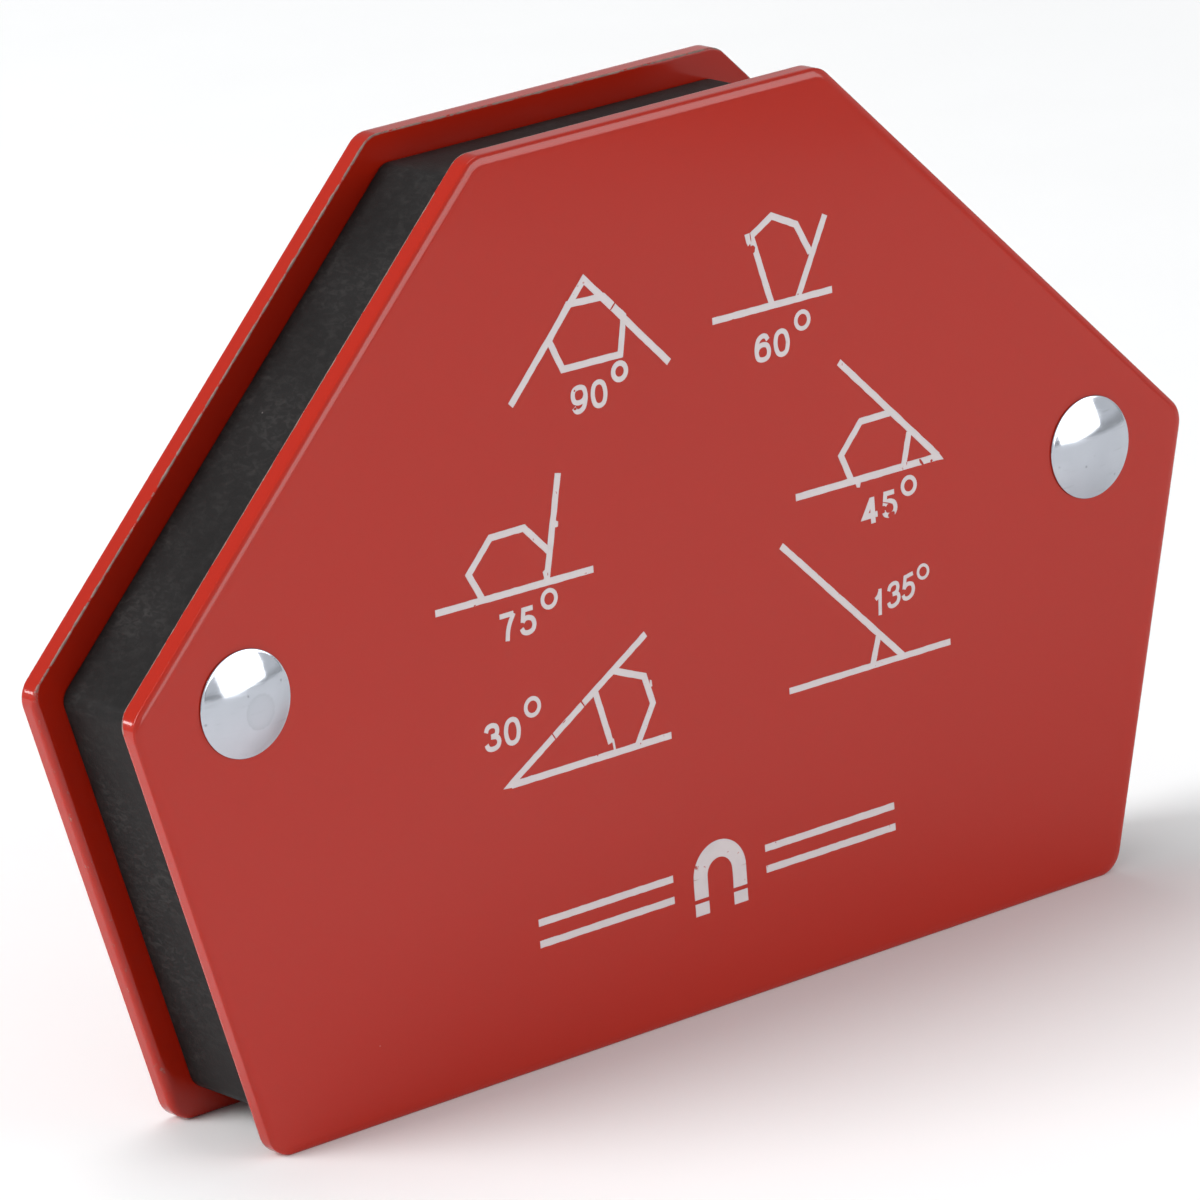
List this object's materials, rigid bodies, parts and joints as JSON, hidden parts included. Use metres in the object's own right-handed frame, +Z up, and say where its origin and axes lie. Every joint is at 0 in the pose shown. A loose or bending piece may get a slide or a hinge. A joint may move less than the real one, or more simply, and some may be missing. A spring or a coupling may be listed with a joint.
{
  "type": "welding magnet holder",
  "caption": "Flat six-sided magnetic holder: two enamelled steel plates riveted over a black core with ferrite magnets, for setting up welded joints at fixed angles.",
  "frame": {"origin": "middle of the base side, at half of the thickness, where the two plates stand", "axes": "+X along the width; +Y through the thickness, from the printed front plate to the rear plate; +Z up from the base side to the top side"},
  "size_m": [0.1094, 0.0168, 0.075],
  "materials": {
    "red_enamel": "gloss red stoving enamel on stamped steel",
    "black_moulding": "matte moulded black plastic, lightly scuffed",
    "bright_plating": "bright zinc plated steel",
    "ferrite": "ground dark grey ferrite",
    "white_ink": "thin light grey screen print, slightly worn"
  },
  "bodies": {
    "root": {"front_plate": "red_enamel", "rear_plate": "red_enamel", "core_frame": "black_moulding", "magnet_lower_left": "ferrite", "magnet_lower_middle": "ferrite", "magnet_lower_right": "ferrite", "magnet_upper_left": "ferrite", "magnet_upper_right": "ferrite", "spacer_tube_left": "bright_plating", "spacer_tube_right": "bright_plating", "rivet_post_left": "bright_plating", "rivet_post_right": "bright_plating", "rivet_cap_left": "bright_plating", "rivet_cap_right": "bright_plating"}
  },
  "joints": []
}
